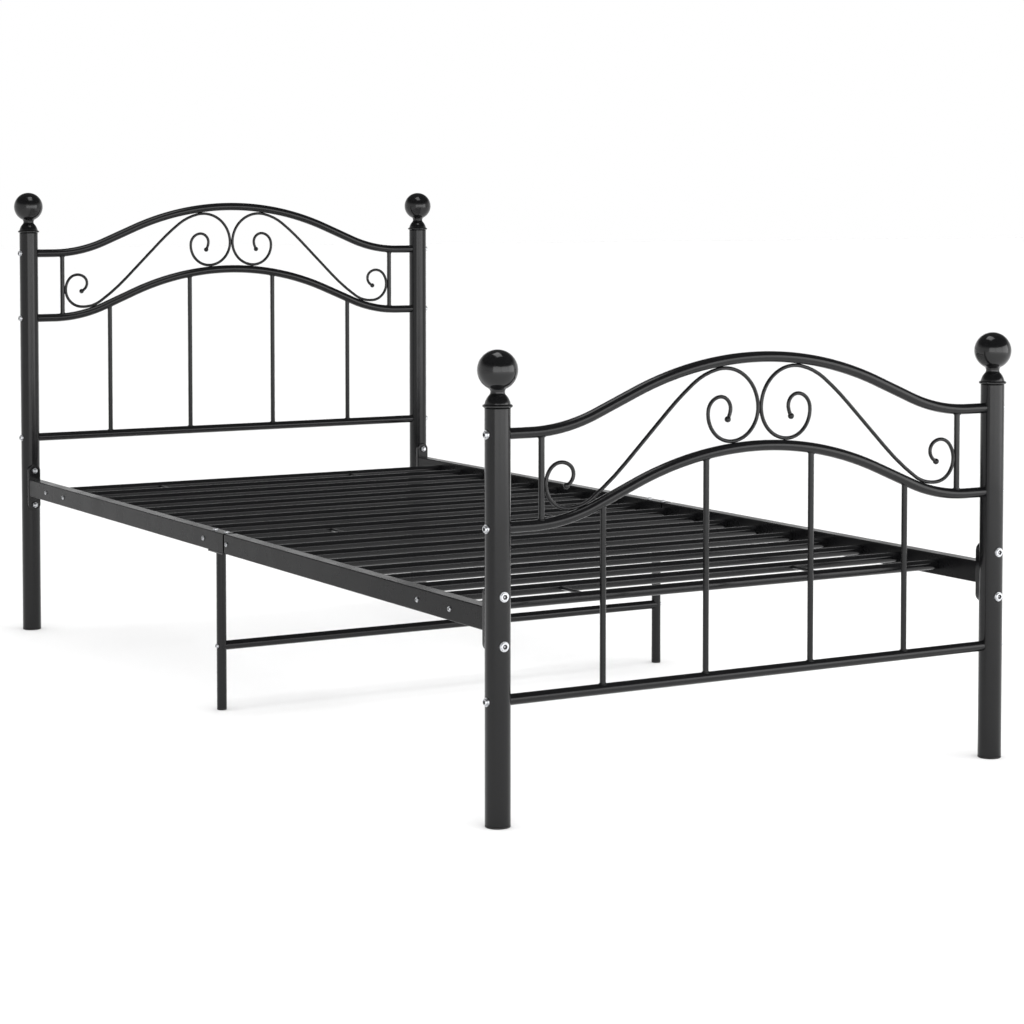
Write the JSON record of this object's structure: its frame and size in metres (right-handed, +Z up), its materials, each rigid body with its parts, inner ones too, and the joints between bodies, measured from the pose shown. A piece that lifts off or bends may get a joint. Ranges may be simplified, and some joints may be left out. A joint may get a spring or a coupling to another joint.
{
  "type": "metal bed frame",
  "caption": "Single metal bed frame with arched, scroll-filled end panels on round posts with ball finials, tubular slats and middle legs",
  "frame": {"origin": "On the floor, under the middle of the bed", "axes": "+X to the right seen from the foot, +Y from the foot to the headboard, +Z up"},
  "size_m": [1.011, 2.091, 0.9458],
  "materials": {
    "frame_paint": "gloss black baked paint on steel tube, with a faint orange peel",
    "finial_gloss": "glossy black moulded finials",
    "glide_plastic": "matte black plastic floor glides",
    "zinc": "bright zinc-plated small fasteners"
  },
  "bodies": {
    "root": {"head_post_left": "frame_paint", "head_post_right": "frame_paint", "foot_post_left": "frame_paint", "foot_post_right": "frame_paint", "head_finial_left": "finial_gloss", "head_finial_right": "finial_gloss", "foot_finial_left": "finial_gloss", "foot_finial_right": "finial_gloss", "floor_glides": "glide_plastic", "head_bottom_tube": "frame_paint", "head_lower_arch": "frame_paint", "head_upper_arch": "frame_paint", "head_spindles": "frame_paint", "foot_bottom_tube": "frame_paint", "foot_lower_arch": "frame_paint", "foot_upper_arch": "frame_paint", "foot_spindles": "frame_paint", "short_bars": "frame_paint", "head_scroll_left": "frame_paint", "head_scroll_right": "frame_paint", "foot_scroll_left": "frame_paint", "foot_scroll_right": "frame_paint", "head_rail_left": "frame_paint", "head_rail_right": "frame_paint", "foot_rail_left": "frame_paint", "foot_rail_right": "frame_paint", "head_bracket_left": "frame_paint", "head_bracket_right": "frame_paint", "foot_bracket_left": "frame_paint", "foot_bracket_right": "frame_paint", "rail_sleeves": "frame_paint", "slat_01": "frame_paint", "slat_02": "frame_paint", "slat_03": "frame_paint", "slat_04": "frame_paint", "slat_05": "frame_paint", "slat_06": "frame_paint", "slat_07": "frame_paint", "slat_08": "frame_paint", "slat_09": "frame_paint", "slat_10": "frame_paint", "slat_11": "frame_paint", "slat_12": "frame_paint", "slat_13": "frame_paint", "slat_14": "frame_paint", "slat_15": "frame_paint", "slat_16": "frame_paint", "slat_17": "frame_paint", "slat_18": "frame_paint", "tie_rods": "frame_paint", "mid_leg_left": "frame_paint", "mid_leg_right": "frame_paint", "crossbar": "frame_paint", "tube_end_nuts": "zinc", "panel_bolts": "zinc", "crossbar_bolts": "zinc", "bracket_bolts": "zinc", "bracket_nuts": "zinc", "leg_bolts": "zinc", "rail_screws": "zinc"}
  },
  "joints": []
}
